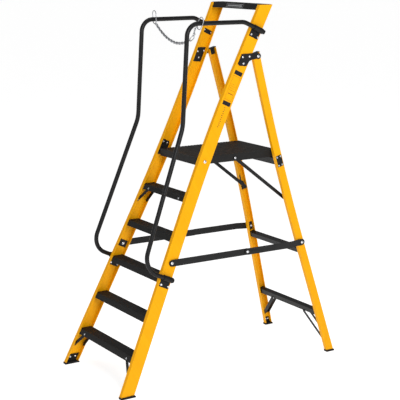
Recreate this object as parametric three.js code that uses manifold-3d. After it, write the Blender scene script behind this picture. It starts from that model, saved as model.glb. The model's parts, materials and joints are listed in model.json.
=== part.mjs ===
// Fibreglass platform step ladder with handrails and a safety chain across the entry.
// Millimetres, +Z up. X is the width, -Y is the climbing side, +Y is the prop side.
// The origin is on the floor, in the middle of the footprint.
import * as THREE from 'three';
import { mergeVertices } from 'three/addons/utils/BufferGeometryUtils.js';
import Module from 'manifold-3d';

const wasm = await Module();
wasm.setup();

// ---------------------------------------------------------------- driving dimensions
const RISE = 250;                 // height of one step
const STEPS = 5;                  // treads below the platform
const FRONT_LEAN = 25;            // degrees the stiles lean back from upright
const REAR_LEAN = 15.6;           // degrees the prop legs lean forward from upright
const USUAL_DECK = 1500;          // deck level that the heights below are given for

// A higher or lower deck takes everything above it along: upward, back and along each slope.
const slopeOf = (lean) => Math.tan(THREE.MathUtils.degToRad(lean));
const RAISED = RISE * (STEPS + 1) - USUAL_DECK;
const SET_BACK = RAISED * slopeOf(FRONT_LEAN);
const UP_STILE = Math.hypot(RAISED, SET_BACK) * Math.sign(RAISED);
const UP_LEG = Math.hypot(RAISED, RAISED * slopeOf(REAR_LEAN)) * Math.sign(RAISED);

const REAR_Y = 1720 + SET_BACK + RAISED * slopeOf(REAR_LEAN); // front edge of the legs on the floor
const STILE_TOP = 2488 + RAISED;  // height of the top of the stiles
const LEG_TOP = 2243 + UP_LEG;    // length of a prop leg along its slope
const WALL = 5;                   // thickness of the moulded channels
const STILE = { depth: 90, flange: 30 };
const LEG = { depth: 56, flange: 28 };
const GAP = 0.4;                  // clearance between touching pieces

// outward bow of the stiles and legs: half width against height
const STILE_BOW = { base: 416.3, splay: -0.1005, flare: 0.06, from: 850, length: 1650 };
const LEG_BOW = { base: 390, splay: -0.0935, flare: 0.025, from: 650, length: 1500 };

const TREAD_SKIRT = 35;
const TREAD_PLATE = 3;
const RAIL_HEIGHT = 37;
const DECK = {
  front: 698 + SET_BACK, rear: 1357 + SET_BACK, top: 1495 + RAISED, bottom: 1445 + RAISED,
  half: 231, plate: 3,
};
const DECK_PIVOT = { t: 1644.6 + UP_STILE, a: 45 };
const STRUT_ON_DECK = { y: 1010 + SET_BACK, z: 1466 + RAISED };
const STRUT_ON_LEG = { t: 1182 + UP_LEG, a: 24 };
const TOP_PIVOT = { t: 2437 + UP_STILE, a: 141 };
const STAY_ON_STILE = { t: 942, a: 50 };
const STAY_ON_LEG = { t: 849, a: 36.5 };
const STAY = { front: 601, width: 46, plate: 4, layer: 4.4, off: 5 };
const CROSSBARS = { lower: 299.5, upper: 789, deck: 1465.2 + UP_LEG };

const TUBE_RADIUS = 15;
const TUBE_BORE = 13;
const CLAMP = { upper: 2592 + UP_STILE, lower: 835, axis: TUBE_RADIUS + 5.9, length: 74, drop: 50 };
const CHAIN_Y = 694 + SET_BACK;   // plane the safety chain hangs in

// ---------------------------------------------------------------- colours
const paint = (color, roughness, metalness) =>
  new THREE.MeshStandardMaterial({ color, roughness, metalness });
const FIBREGLASS = paint(0xf2b800, 0.5, 0);
const BLACK = paint(0x1b1b1c, 0.45, 0.3);
const RUBBER = paint(0x18181a, 0.85, 0);
const ZINC = paint(0xa4a6a8, 0.35, 0.9);

// ---------------------------------------------------------------- solids
function toSolid(geometry) {
  const bare = geometry.clone();
  bare.deleteAttribute('normal');
  bare.deleteAttribute('uv');
  const welded = mergeVertices(bare, 1e-4);
  const mesh = new wasm.Mesh({
    numProp: 3,
    vertProperties: new Float32Array(welded.attributes.position.array),
    triVerts: new Uint32Array(welded.index.array),
  });
  return new wasm.Manifold(mesh);
}

function toGeometry(solid) {
  const mesh = solid.getMesh();
  const geometry = new THREE.BufferGeometry();
  geometry.setAttribute('position', new THREE.BufferAttribute(mesh.vertProperties, 3));
  geometry.setIndex(new THREE.BufferAttribute(mesh.triVerts, 1));
  return geometry;
}

const join = (...pieces) => toGeometry(pieces.map(toSolid).reduce((a, b) => a.add(b)));

const cut = (piece, ...tools) =>
  toGeometry(tools.map(toSolid).reduce((a, b) => a.subtract(b), toSolid(piece)));

const meet = (a, b) => toGeometry(toSolid(a).intersect(toSolid(b)));

// The same piece for the other side of the ladder.
function mirrored(geometry) {
  const flat = geometry.index ? geometry.toNonIndexed() : geometry.clone();
  const p = flat.attributes.position;
  const corner = new THREE.Vector3();
  for (let i = 0; i < p.count; i += 3) {
    corner.fromBufferAttribute(p, i + 1);
    p.setXYZ(i, -p.getX(i), p.getY(i), p.getZ(i));
    p.setXYZ(i + 1, -p.getX(i + 2), p.getY(i + 2), p.getZ(i + 2));
    p.setXYZ(i + 2, -corner.x, corner.y, corner.z);
  }
  const out = new THREE.BufferGeometry();
  out.setAttribute('position', p);
  return out;
}

const AXIS_X = new THREE.Vector3(1, 0, 0);
const AXIS_Y = new THREE.Vector3(0, 1, 0);
const AXIS_Z = new THREE.Vector3(0, 0, 1);

function placed(geometry, x, y, z, origin) {
  const matrix = new THREE.Matrix4().makeBasis(x, y, z).setPosition(origin);
  return geometry.applyMatrix4(matrix);
}

function plate(points, depth, steps = 1) {
  const shape = new THREE.Shape(points.map(([x, y]) => new THREE.Vector2(x, y)));
  return new THREE.ExtrudeGeometry(shape, { depth, steps, bevelEnabled: false });
}

// A profile of (y, z) points swept across the width.
function acrossWidth(profile, x0, x1) {
  const origin = new THREE.Vector3(x0, 0, 0);
  return placed(plate(profile, x1 - x0), AXIS_Y, AXIS_Z, AXIS_X, origin);
}

// A profile of (x, z) points swept through the depth, from y0 to y1.
function throughDepth(profile, y0, y1) {
  const origin = new THREE.Vector3(0, y1, 0);
  return placed(plate(profile, y1 - y0), AXIS_X, AXIS_Z, AXIS_Y.clone().negate(), origin);
}

function box(x0, x1, y0, y1, z0, z1) {
  const geometry = new THREE.BoxGeometry(x1 - x0, y1 - y0, z1 - z0);
  return geometry.translate((x0 + x1) / 2, (y0 + y1) / 2, (z0 + z1) / 2);
}

// A round peg standing on z = from, up to z = to.
function peg(radius, from, to, segments = 12, topRadius = radius) {
  const geometry = new THREE.CylinderGeometry(topRadius, radius, to - from, segments);
  return geometry.rotateX(Math.PI / 2).translate(0, 0, (from + to) / 2);
}

const headOn = (level, radius = 6, rise = 2.4) => peg(radius, level - 0.6, level + rise, 10, radius * 0.6);

// A peg lying along the width.
function crossPeg(radius, x0, x1, y, z, segments = 12) {
  const geometry = peg(radius, 0, x1 - x0, segments);
  return placed(geometry, AXIS_Y, AXIS_Z, AXIS_X, new THREE.Vector3(x0, y, z));
}

// A flat strap with round ends between two points of its own plane.
function strapOutline([x0, y0], [x1, y1], width) {
  const turn = Math.atan2(y1 - y0, x1 - x0);
  const points = [];
  for (let i = 0; i <= 5; i++) {
    const angle = turn - Math.PI / 2 + Math.PI * i / 5;
    points.push([x1 + width / 2 * Math.cos(angle), y1 + width / 2 * Math.sin(angle)]);
  }
  for (let i = 0; i <= 5; i++) {
    const angle = turn + Math.PI / 2 + Math.PI * i / 5;
    points.push([x0 + width / 2 * Math.cos(angle), y0 + width / 2 * Math.sin(angle)]);
  }
  return points;
}

// ---------------------------------------------------------------- curves
// A curve through given stations, so a swept piece keeps each of them.
class Stations extends THREE.Curve {
  constructor(points) {
    super();
    this.points = points;
  }
  getPoint(u, target = new THREE.Vector3()) {
    const at = u * (this.points.length - 1);
    const i = Math.min(Math.floor(at), this.points.length - 2);
    return target.lerpVectors(this.points[i], this.points[i + 1], at - i);
  }
  getPointAt(u, target) {
    return this.getPoint(u, target);
  }
  getTangentAt(u, target = new THREE.Vector3()) {
    const last = this.points.length - 1;
    const i = Math.round(u * last);
    const before = this.points[Math.max(i - 1, 0)];
    const after = this.points[Math.min(i + 1, last)];
    return target.subVectors(after, before).normalize();
  }
}

// Corners rounded by arcs of the given radii.
function rounded(corners, radii, pieces) {
  const path = [corners[0]];
  for (let i = 1; i < corners.length - 1; i++) {
    const here = corners[i];
    const back = corners[i - 1].clone().sub(here).normalize();
    const ahead = corners[i + 1].clone().sub(here).normalize();
    const half = back.angleTo(ahead) / 2;
    const reach = radii[i - 1] / Math.tan(half);
    const centre = back.clone().add(ahead).normalize()
      .multiplyScalar(radii[i - 1] / Math.sin(half)).add(here);
    const from = here.clone().addScaledVector(back, reach).sub(centre);
    const to = here.clone().addScaledVector(ahead, reach).sub(centre);
    const sweep = from.angleTo(to);
    for (let k = 0; k <= pieces[i - 1]; k++) {
      const f = k / pieces[i - 1];
      const spoke = from.clone().multiplyScalar(Math.sin((1 - f) * sweep) / Math.sin(sweep));
      spoke.addScaledVector(to, Math.sin(f * sweep) / Math.sin(sweep));
      path.push(spoke.add(centre));
    }
  }
  path.push(corners.at(-1));
  return path;
}

function circle(radius, segments, clockwise = false) {
  const points = [];
  for (let i = 0; i < segments; i++) {
    const angle = 2 * Math.PI * i / segments * (clockwise ? -1 : 1);
    points.push(new THREE.Vector2(radius * Math.cos(angle), radius * Math.sin(angle)));
  }
  return points;
}

function swept(path, radius, segments, bore = 0) {
  const shape = new THREE.Shape(circle(radius, segments));
  if (bore) shape.holes.push(new THREE.Path(circle(bore, segments, true)));
  const curve = new Stations(path);
  return new THREE.ExtrudeGeometry(shape, { steps: path.length - 1, extrudePath: curve });
}

// ---------------------------------------------------------------- members
const rad = THREE.MathUtils.degToRad;

function bowAt(bow, height) {
  const run = THREE.MathUtils.clamp(height - bow.from, 0, bow.length);
  const eased = run / 2 - bow.length / (2 * Math.PI) * Math.sin(Math.PI * run / bow.length);
  const past = Math.max(height - bow.from - bow.length, 0);
  return bow.base + bow.splay * height + (bow.flare - bow.splay) * (eased + past);
}

// A member's own frame: x is the width, a runs front to back, t runs up the slope.
function member(size, bow, lean, forward, footY) {
  const c = Math.cos(rad(lean));
  const s = Math.sin(rad(lean)) * (forward ? 1 : -1);
  const half = (t) => bowAt(bow, t * c);
  return {
    ...size,
    half,
    c,
    s,
    local: (y, z) => [(y - footY) * c - z * s, (y - footY) * s + z * c],
    world: (t, a) => ({ y: footY + t * s + a * c, z: t * c - a * s }),
    at: (z, a) => (z + a * s) / c,
    outward: (t) => {
      const slope = (half(t + 1) - half(t - 1)) / 2;
      return new THREE.Vector3(1, 0, -slope).normalize();
    },
  };
}

const stile = member(STILE, STILE_BOW, FRONT_LEAN, true, 0);
const leg = member(LEG, LEG_BOW, REAR_LEAN, false, REAR_Y);

// Puts a piece drawn in (across, along, outward) onto the outer face of a member's web.
function onWeb(on, t, geometry) {
  const out = on.outward(t);
  const along = new THREE.Vector3().crossVectors(out, AXIS_Y);
  return placed(geometry, AXIS_Y, along, out, new THREE.Vector3(on.half(t), 0, t));
}

const moved = (geometry, a, v, n = 0) => geometry.translate(a, v, n);

// Everything above or below a level floor line, in a member's frame.
function levelBlock(on, z0, z1) {
  const ring = [[-1500, z0], [3000, z0], [3000, z1], [-1500, z1]];
  return acrossWidth(ring.map(([y, z]) => on.local(y, z)), -600, 600);
}

function channel(on, length, steps) {
  const { depth, flange } = on;
  const section = [
    [0, 0], [0, depth], [-flange, depth], [-flange, depth - WALL], [-WALL, depth - WALL],
    [-WALL, WALL], [-flange, WALL], [-flange, 0],
  ];
  const geometry = plate(section, length, steps);
  const p = geometry.attributes.position;
  for (let i = 0; i < p.count; i++) p.setX(i, p.getX(i) + on.half(p.getZ(i)));
  return geometry;
}

// The room between the webs of a pair of members.
function between(on, length) {
  const right = [];
  for (let t = -100; t <= length; t += 60) right.push([on.half(t) - WALL - GAP, t]);
  const left = right.map(([x, t]) => [-x, t]).reverse();
  return throughDepth([...right, ...left], -60, 200);
}

const STILE_BLANK = 2900 + UP_STILE; // moulded length before its ends are cut level
const stileRoom = between(stile, STILE_BLANK);
const legRoom = between(leg, LEG_TOP + 57);

// ---------------------------------------------------------------- stiles and legs
function stileRight() {
  const body = meet(channel(stile, STILE_BLANK, 28), levelBlock(stile, 14, STILE_TOP));
  const holes = [];
  const hole = (t, a, radius) => {
    holes.push(onWeb(stile, t, moved(peg(radius, -WALL - 4, 4, 12), a, 0)));
  };
  hole(DECK_PIVOT.t, DECK_PIVOT.a, 6.6);
  hole(STAY_ON_STILE.t, STAY_ON_STILE.a, 5.8);
  for (const t of [CLAMP.upper, CLAMP.lower]) {
    for (const a of [20, 77]) hole(t - CLAMP.drop + 2, a, 4.6);
  }
  for (const [a, dt] of HINGE_RIVETS) hole(HINGE_T + dt, a, 3.6);
  return cut(body, ...holes);
}

function legRight() {
  const body = meet(channel(leg, LEG_TOP, 22), levelBlock(leg, 14, LEG_TOP + 757));
  const holes = [];
  const hole = (t, a, radius) => {
    holes.push(onWeb(leg, t, moved(peg(radius, -WALL - 4, 4, 12), a, 0)));
  };
  hole(pivotOnLeg.t, pivotOnLeg.a, 6.6);
  hole(STAY_ON_LEG.t, STAY_ON_LEG.a, 5.8);
  for (const [a, dt] of DECK_BAR_RIVETS) hole(CROSSBARS.deck + dt, a, 3.6);
  return cut(body, ...holes);
}

// The fold axis through the top of both frames.
const topPivot = stile.world(TOP_PIVOT.t, TOP_PIVOT.a);
const [pivotLegA, pivotLegT] = leg.local(topPivot.y, topPivot.z);
const pivotOnLeg = { a: pivotLegA, t: pivotLegT };

// ---------------------------------------------------------------- feet
function foot(on, tabTop, tabFrom, tabTo, rivets) {
  const outer = on.half(0);
  const inner = outer - on.flange;
  const y0 = on.world(14, 0).y;
  const y1 = y0 + on.depth / on.c;
  const sole = [[y0 - 2, 0], [y1 + 9, 0], [y1 + 9, 4], [y1 + 3, 13.6], [y0 - 1, 13.6], [y0 - 2, 4]];
  const pad = acrossWidth(sole.map(([y, z]) => on.local(y, z)), inner - 3, outer + 4);
  const corners = [[tabFrom, 6], [tabTo, 6], [tabTo, tabTop], [tabFrom, tabTop]];
  const lift = on.at(40, 30);
  const outline = corners.map(([a, z]) => [a, on.at(z, a) - lift]);
  const depth = WALL + GAP + 4;
  const tab = moved(plate(outline, 4), 0, 0, -depth);
  const heads = rivets.map(([a, z]) => {
    const head = headOn(0).rotateX(Math.PI);
    return moved(head, a, on.at(z, a) - lift, -depth);
  });
  return join(pad, onWeb(on, lift, join(tab, ...heads)));
}

// ---------------------------------------------------------------- treads and top rail
// A sheet folded down front and back, its skirts parallel to the stiles, ribbed on top.
function stepProfile(top, skirt, ribs) {
  const front = (z) => z * stile.s / stile.c + (WALL + GAP) / stile.c;
  const rear = (z) => z * stile.s / stile.c + (STILE.depth - WALL - GAP) / stile.c;
  const low = top - skirt;
  const under = top - TREAD_PLATE;
  const sheet = TREAD_PLATE / stile.c;
  const points = [[front(low), low], [front(low) + sheet, low], [front(under) + sheet, under]];
  points.push([rear(under) - sheet, under], [rear(low) - sheet, low], [rear(low), low]);
  points.push([rear(top), top]);
  const pitch = (rear(top) - front(top)) / (2 * ribs + 1);
  for (let i = ribs - 1; i >= 0; i--) {
    const y = front(top) + pitch * (2 * i + 1);
    points.push([y + pitch, top], [y + pitch * 0.8, top - 1.4]);
    points.push([y + pitch * 0.2, top - 1.4], [y, top]);
  }
  points.push([front(top), top]);
  return points.map(([y, z]) => stile.local(y, z));
}

function tread(number) {
  const top = RISE * number;
  const body = meet(acrossWidth(stepProfile(top, TREAD_SKIRT, 7), -450, 450), stileRoom);
  if (number !== 1 && number !== STEPS) return body;
  const heads = [-1, 1].map((side) => {
    const z = top - 20.5;
    const x = side * (stile.half(stile.at(z, 0)) - 98);
    const facing = AXIS_Y.clone().negate();
    const origin = new THREE.Vector3(x, WALL + GAP, stile.at(z, WALL));
    return placed(headOn(0), AXIS_X, AXIS_Z, facing, origin);
  });
  return join(body, ...heads);
}

const topRail = () => meet(
  acrossWidth(stepProfile(STILE_TOP + 2, RAIL_HEIGHT, 5), -450, 450),
  stileRoom,
);

// Diagonal straps from the tread down to the stile flanges.
function treadBrace(number, front) {
  const top = RISE * number;
  const z0 = top - (front ? 20.5 : 22);
  const z1 = top - (front ? 106 : 122);
  const level = front ? WALL : STILE.depth - WALL;
  const t0 = stile.at(z0, level);
  const t1 = stile.at(z1, level);
  const x0 = stile.half(t0) - (front ? 98 : 72);
  const x1 = stile.half(t1) - (front ? 20 : 24);
  const near = WALL + GAP + TREAD_PLATE + GAP;
  const [a0, a1] = front
    ? [near, near + 3]
    : [STILE.depth - near - 3, STILE.depth - near];
  const strap = throughDepth(strapOutline([x0, t0], [x1, t1], front ? 26 : 30), a0, a1);
  const spacer = peg(5, 0, TREAD_PLATE + GAP + 0.3, 10);
  const facing = front ? AXIS_Y.clone().negate() : AXIS_Y;
  const side = front ? AXIS_X : AXIS_X.clone().negate();
  const origin = new THREE.Vector3(x1, front ? a0 + 0.3 : a1 - 0.3, t1);
  return join(strap, placed(spacer, side, AXIS_Z, facing, origin));
}

// ---------------------------------------------------------------- crossbars
function hollowBar(on, t0, t1, a0, a1, wall) {
  const bar = box(-450, 450, a0, a1, t0, t1);
  const bore = box(-500, 500, a0 + wall, a1 - wall, t0 + wall, t1 - wall);
  return meet(cut(bar, bore), legRoom);
}

const upperBar = () => {
  const [bottom, top] = [CROSSBARS.upper - 17, CROSSBARS.upper + 17];
  return hollowBar(leg, bottom, top, WALL + 2, LEG.depth - WALL - 2, 2.5);
};

// Front and rear faces of what lies between the flanges of a leg.
const IN_LEG = [WALL + 0.6, LEG.depth - WALL - 0.6];
const lowerBar = () => {
  const [a0, a1] = IN_LEG;
  return hollowBar(leg, CROSSBARS.lower - 19, CROSSBARS.lower + 19, a0 + 3.6, a1 - 3.6, 2.5);
};

const DECK_BAR_RIVETS = [[14, -30], [42, -30], [14, 30], [42, 30]];

// The bar the deck rests on, held by a plate on each side of the leg web.
function deckBar() {
  const t = CROSSBARS.deck;
  const [a0, a1] = IN_LEG;
  const bar = box(-450, 450, a0 + 0.4, a1 - 0.4, t - 24, t + 24);
  const bore = box(-500, 500, a0 + 2.9, a1 - 2.9, t - 21.5, t + 21.5);
  const outline = [[a0, -40], [a1, -40], [a1, 40], [a0, 40]];
  const pieces = [moved(plate(outline, 3), 0, 0, GAP), moved(plate(outline, 3), 0, 0, -WALL - GAP - 3)];
  for (const [a, dt] of DECK_BAR_RIVETS) {
    pieces.push(moved(peg(3, -WALL - GAP - 1, GAP + 1, 10), a, dt));
    pieces.push(moved(headOn(0, 5.5), a, dt, GAP + 3));
  }
  const end = onWeb(leg, t, join(...pieces));
  const drains = [-250, 250].map((x) => peg(6, t - 40, t, 10).translate(x, 28, 0));
  const inner = meet(cut(bar, bore, ...drains), legRoom);
  return join(inner, end, mirrored(end));
}

// Two straps down from the lower crossbar to a shared shoe on the leg web.
function lowerBrace() {
  const z0 = 266;
  const z1 = 104;
  const t0 = leg.at(z0, 28) + 8;
  const t1 = leg.at(z1, 28);
  const x1 = leg.half(t1) - 20;
  const outline = strapOutline([195, t0], [x1, t1], 24);
  const [a0, a1] = IN_LEG;
  const front = throughDepth(outline, a0, a0 + 3);
  const rear = throughDepth(outline, a1 - 3, a1);
  const shoe = plate([[a0, -14], [a1, -14], [a1, 14], [a0, 14]], 3);
  return join(front, rear, onWeb(leg, t1, moved(shoe, 0, 0, -WALL - GAP - 3)), shoeWings(x1, t1));
}

// Short ears that carry the straps on the shoe.
function shoeWings(x, t) {
  const reach = leg.half(t) - WALL - GAP - 1;
  const ear = [[x - 6, t - 7], [reach, t - 7], [reach, t + 7], [x - 6, t + 7]];
  const [a0, a1] = IN_LEG;
  return join(throughDepth(ear, a0, a0 + 3), throughDepth(ear, a1 - 3, a1));
}

// ---------------------------------------------------------------- deck
function deck() {
  const { front, rear, top, bottom, half, plate: sheet } = DECK;
  const ribs = 26;
  const pitch = (rear - front) / (2 * ribs + 1);
  const profile = [[front, bottom], [front + sheet, bottom], [front + sheet, top - sheet - 1]];
  profile.push([rear - sheet, top - sheet - 1], [rear - sheet, bottom], [rear, bottom], [rear, top]);
  for (let i = ribs - 1; i >= 0; i--) {
    const y = front + pitch * (2 * i + 1);
    profile.push([y + pitch, top], [y + pitch * 0.8, top - 1.6]);
    profile.push([y + pitch * 0.2, top - 1.6], [y, top]);
  }
  profile.push([front, top]);
  const body = acrossWidth(profile, -half, half);
  const skirt = (x0) => box(x0, x0 + sheet, front, rear, bottom, top - 1.6);
  const pivot = stile.world(DECK_PIVOT.t, DECK_PIVOT.a);
  const bore = crossPeg(6.6, -half - 10, half + 10, pivot.y, pivot.z);
  return cut(join(body, skirt(-half), skirt(half - sheet)), bore);
}

// Plate inside the stile with the pin the deck turns on.
function deckBracket() {
  const outline = [[10, -38], [78, -16], [78, 62], [70, 80], [12, 80]];
  const deep = WALL + GAP + 4;
  const reach = stile.half(DECK_PIVOT.t) - deep + 1;
  const pieces = [
    onWeb(stile, DECK_PIVOT.t, moved(plate(outline, 4), 0, 0, -deep)),
    crossPeg(11, DECK.half + GAP, reach, DECK_PIVOT.a, DECK_PIVOT.t, 14),
    crossPeg(6, DECK.half - 8, reach, DECK_PIVOT.a, DECK_PIVOT.t),
    onWeb(stile, DECK_PIVOT.t, moved(peg(6, -deep + 1, GAP + 1), DECK_PIVOT.a, 0)),
    onWeb(stile, DECK_PIVOT.t, moved(headOn(GAP + 0.6, 10, 4), DECK_PIVOT.a, 0)),
  ];
  for (const [a, v] of [[26, 62], [60, 62], [64, 8]]) {
    const head = moved(headOn(0).rotateX(Math.PI), a, v, -deep);
    pieces.push(onWeb(stile, DECK_PIVOT.t, head));
  }
  return join(...pieces);
}

// Flat strap from the deck's side to the lug on the prop leg.
function strut() {
  const end = leg.world(STRUT_ON_LEG.t, STRUT_ON_LEG.a);
  const { y, z } = STRUT_ON_DECK;
  const x0 = DECK.half + 0.6;
  const outline = strapOutline([y, z], [end.y, end.z], 24);
  const strap = acrossWidth(outline, x0, x0 + 3.4);
  const head = placed(headOn(0, 7, 2.2), AXIS_Y, AXIS_Z, AXIS_X, new THREE.Vector3(x0 + 3.4, y, z));
  return cut(join(strap, head), crossPeg(4.5, x0 - 5, x0 + 10, end.y, end.z));
}

// Plate and lug inside the prop leg, with the pin the strut turns on.
function strutBracket() {
  const { t, a } = STRUT_ON_LEG;
  const x0 = DECK.half + 0.6 + 3.4 + GAP;
  const reach = leg.half(t) - WALL - GAP - 2;
  const outline = [
    [a - 16, -30], [a + 22, -30], [a + 22, 26], [a + 2, 44], [a + 2, 88], [a - 16, 88],
  ];
  return join(
    onWeb(leg, t, moved(plate(outline, 3.5), 0, 0, -WALL - GAP - 3.5)),
    crossPeg(9, x0, reach, a, t),
    crossPeg(4.1, DECK.half - 1.6, x0 + 2, a, t),
    crossPeg(7, DECK.half - 2.2, DECK.half + 0.2, a, t),
  );
}

// ---------------------------------------------------------------- top hinge
const HINGE_OUTLINE = [
  [12, -57], [30, -62], [82, -44], [88, -6], [104, 12], [136, 32], [152, 36],
  [161, 47], [160, 62], [149, 73], [133, 73], [84, 50], [12, 14],
];
const HINGE_RIVETS = [[28, 0], [76, 24], [52, -36]];
const HINGE_T = 2384 + UP_STILE;  // where up the stile the plate is drawn from

// Plate on the outer face of the stile, with the pin the prop leg swings on.
function hingePlate() {
  const t0 = HINGE_T;
  const pieces = [moved(plate(HINGE_OUTLINE, 4), 0, 0, 0.7)];
  const deep = WALL + GAP + 3;
  const backing = [[12, -80], [78, -58], [78, 52], [12, 24]];
  pieces.push(moved(plate(backing, 3), 0, 0, -deep));
  for (const [a, dt] of HINGE_RIVETS) {
    pieces.push(moved(peg(3, -deep + 1, 2, 10), a, dt));
    pieces.push(moved(headOn(4.7, 6.5), a, dt));
    pieces.push(moved(headOn(0, 6).rotateX(Math.PI), a, dt, -deep));
  }
  pieces.push(moved(headOn(4.7, 9, 3), TOP_PIVOT.a, TOP_PIVOT.t - t0));
  const pin = crossPeg(6, stile.half(t0) - 16, stile.half(TOP_PIVOT.t) + 3, TOP_PIVOT.a, TOP_PIVOT.t);
  return join(onWeb(stile, t0, join(...pieces)), pin);
}

// Wear plate and end cap inside the top of the prop leg.
function legCap() {
  const { t, a } = pivotOnLeg;
  const [a0, a1] = IN_LEG;
  const outline = [[a0 + 0.4, -26], [a1 - 0.4, -26], [a1 - 0.4, 23], [a0 + 0.4, 23]];
  const deep = WALL + GAP + 3.5;
  const wear = moved(plate(outline, 3.5), 0, 0, -deep);
  const lid = moved(box(-1, LEG.depth + 1, 0, 4, -LEG.flange - 1, 1), 0, LEG_TOP + GAP - t, 0);
  const neck = box(a0 + 2.4, a1 - 2.4, 18, LEG_TOP + GAP - t + 1, -deep - 8, -deep + 3);
  const body = onWeb(leg, t, join(wear, lid, neck));
  return cut(body, crossPeg(6.8, leg.half(t) - 40, leg.half(t) + 20, a, t));
}

// ---------------------------------------------------------------- spreader stays
const stayFoot = stile.world(STAY_ON_STILE.t, STAY_ON_STILE.a);
const stayHead = leg.world(STAY_ON_LEG.t, STAY_ON_LEG.a);
const stayRun = new THREE.Vector3(0, stayHead.y - stayFoot.y, stayHead.z - stayFoot.z);
const staySpan = stayRun.length();
const stayX = stile.half(STAY_ON_STILE.t) + STAY.off;
const stayStep = stayX + STAY.layer - leg.half(STAY_ON_LEG.t) - STAY.off;

// Both links turn in upright planes, so they stay clear of each other as they fold.
function stayPlaced(geometry, at, x) {
  const e = stayRun.clone().normalize();
  const m = new THREE.Vector3().crossVectors(AXIS_X, e);
  const origin = new THREE.Vector3(x, stayFoot.y, stayFoot.z).addScaledVector(e, at);
  return placed(geometry, e, m, AXIS_X.clone(), origin);
}

function stayFront() {
  const h = STAY.plate / 2;
  const bar = moved(plate(strapOutline([0, 0], [STAY.front, 0], STAY.width), STAY.plate), 0, 0, -h);
  return stayPlaced(join(bar, peg(5, -16, 0), headOn(h, 9, 3)), 0, stayX);
}

// The rear link steps inward near the leg, so its eye lies against the leg's web.
function stayRear() {
  const h = STAY.plate / 2;
  const w = STAY.width;
  const length = staySpan - STAY.front;
  const bend = [length - 105, length - 40];
  const side = [
    [-w, -h], [bend[0], -h], [bend[1], -h - stayStep], [length + w, -h - stayStep],
    [length + w, h - stayStep], [bend[1], h - stayStep], [bend[0], h], [-w, h],
  ];
  const blank = throughDepth(side, -w, w);
  const outline = moved(plate(strapOutline([0, 0], [length, 0], w), stayStep + 40), 0, 0, -stayStep - 20);
  const eye = [peg(5, -16 - stayStep, -stayStep), headOn(h - stayStep, 9, 3)];
  const pieces = [meet(blank, outline), headOn(h, 9, 3)];
  for (const piece of eye) pieces.push(moved(piece, length, 0));
  return stayPlaced(join(...pieces), STAY.front, stayX + STAY.layer);
}

function stayBacking(on, { t, a }, width, height) {
  const outline = [
    [a - width / 2, -height / 2], [a + width / 2, -height / 2],
    [a + width / 2, height / 2], [a - width / 2, height / 2],
  ];
  const pad = onWeb(on, t, moved(plate(outline, 3), 0, 0, -WALL - GAP - 3));
  return cut(pad, onWeb(on, t, moved(peg(6.2, -30, 10), a, 0)));
}

// ---------------------------------------------------------------- handrails
const inClamp = (t, a) => stile.outward(t).multiplyScalar(CLAMP.axis)
  .add(new THREE.Vector3(stile.half(t), a, t));
const upper = inClamp(CLAMP.upper, 0).x;
const lower = inClamp(CLAMP.lower, 0).x;

// Ends of the level stretch at the top of the loop, as width and depth.
const LEVEL = { rear: [upper - 4, 1026 + SET_BACK], front: [upper - 20.4, 596 + SET_BACK] };

// The tube crosses the stile at each clamp and loops forward between them.
function railPath() {
  const fromFloor = (x, y, z) => new THREE.Vector3(x, ...stile.local(y, z));
  const corners = [
    inClamp(CLAMP.upper, 98),
    inClamp(CLAMP.upper, -30),
    fromFloor(...LEVEL.rear, 2380 + RAISED),
    fromFloor(...LEVEL.front, 2380 + RAISED),
    fromFloor(upper - 19.4, 557 + SET_BACK, 1714 + RAISED),
    fromFloor(lower - 8, 214, 826),
    inClamp(CLAMP.lower, -22),
    inClamp(CLAMP.lower, 90),
  ];
  return rounded(corners, [300, 90, 85, 240, 122, 150], [1, 6, 6, 3, 6, 1]);
}

const handrail = () => swept(railPath(), TUBE_RADIUS, 12, TUBE_BORE);

// A peg along the across direction of a web, its centre at the given height off the web.
function lengthways(radius, from, to, height) {
  const origin = new THREE.Vector3(0, 0, height);
  return placed(peg(radius, from, to, 16), AXIS_Y, AXIS_Z, AXIS_X, origin);
}

// P-shaped clamp over the tube, bolted through the web to a plate inside.
function railClamp(t) {
  const { axis, length, drop } = CLAMP;
  const a0 = 45 - length / 2;
  const a1 = 45 + length / 2;
  const shell = TUBE_RADIUS + 4;
  const low = -drop - 12;
  const outline = [[a0, low], [a1, low], [a1, 8], [a0, 8]];
  const base = moved(plate(outline, 4), 0, 0, GAP);
  const pieces = [base, lengthways(shell, a0, a1, axis)];
  const deep = WALL + GAP + 3;
  const shift = t === CLAMP.lower ? 10 : 0;
  const back = [[a0, low - 2], [a1, low - 2], [a1, -drop + 16 - shift], [a0, -drop + 16 - shift]];
  pieces.push(moved(plate(back, 3), 0, 0, -deep));
  for (const a of [20, 77]) {
    pieces.push(moved(peg(4, -deep + 1, GAP + 2), a, -drop + 2));
    pieces.push(moved(peg(6.8, GAP + 3, GAP + 9, 6), a, -drop + 2));
    pieces.push(moved(peg(6.2, -deep - 4, -deep + 1, 6), a, -drop + 2));
  }
  const bore = lengthways(TUBE_RADIUS + 0.4, -60, 160, axis);
  return onWeb(stile, t, cut(join(...pieces), bore));
}

// ---------------------------------------------------------------- safety chain
// A ring bent from wire, its butted ends a hair apart.
function link(centre, along, normal, length, width, wire) {
  const side = new THREE.Vector3().crossVectors(normal, along).normalize();
  const r = width / 2;
  const straight = length / 2 - r;
  const path = [];
  const put = (u, v) => path.push(centre.clone().addScaledVector(along, u).addScaledVector(side, v));
  put(0.3, -r);
  for (let i = 0; i <= 6; i++) {
    const angle = -Math.PI / 2 + Math.PI * i / 6;
    put(straight + r * Math.cos(angle), r * Math.sin(angle));
  }
  for (let i = 0; i <= 6; i++) {
    const angle = Math.PI / 2 + Math.PI * i / 6;
    put(-straight + r * Math.cos(angle), r * Math.sin(angle));
  }
  put(-0.3, -r);
  return swept(path, wire, 8);
}

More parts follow.
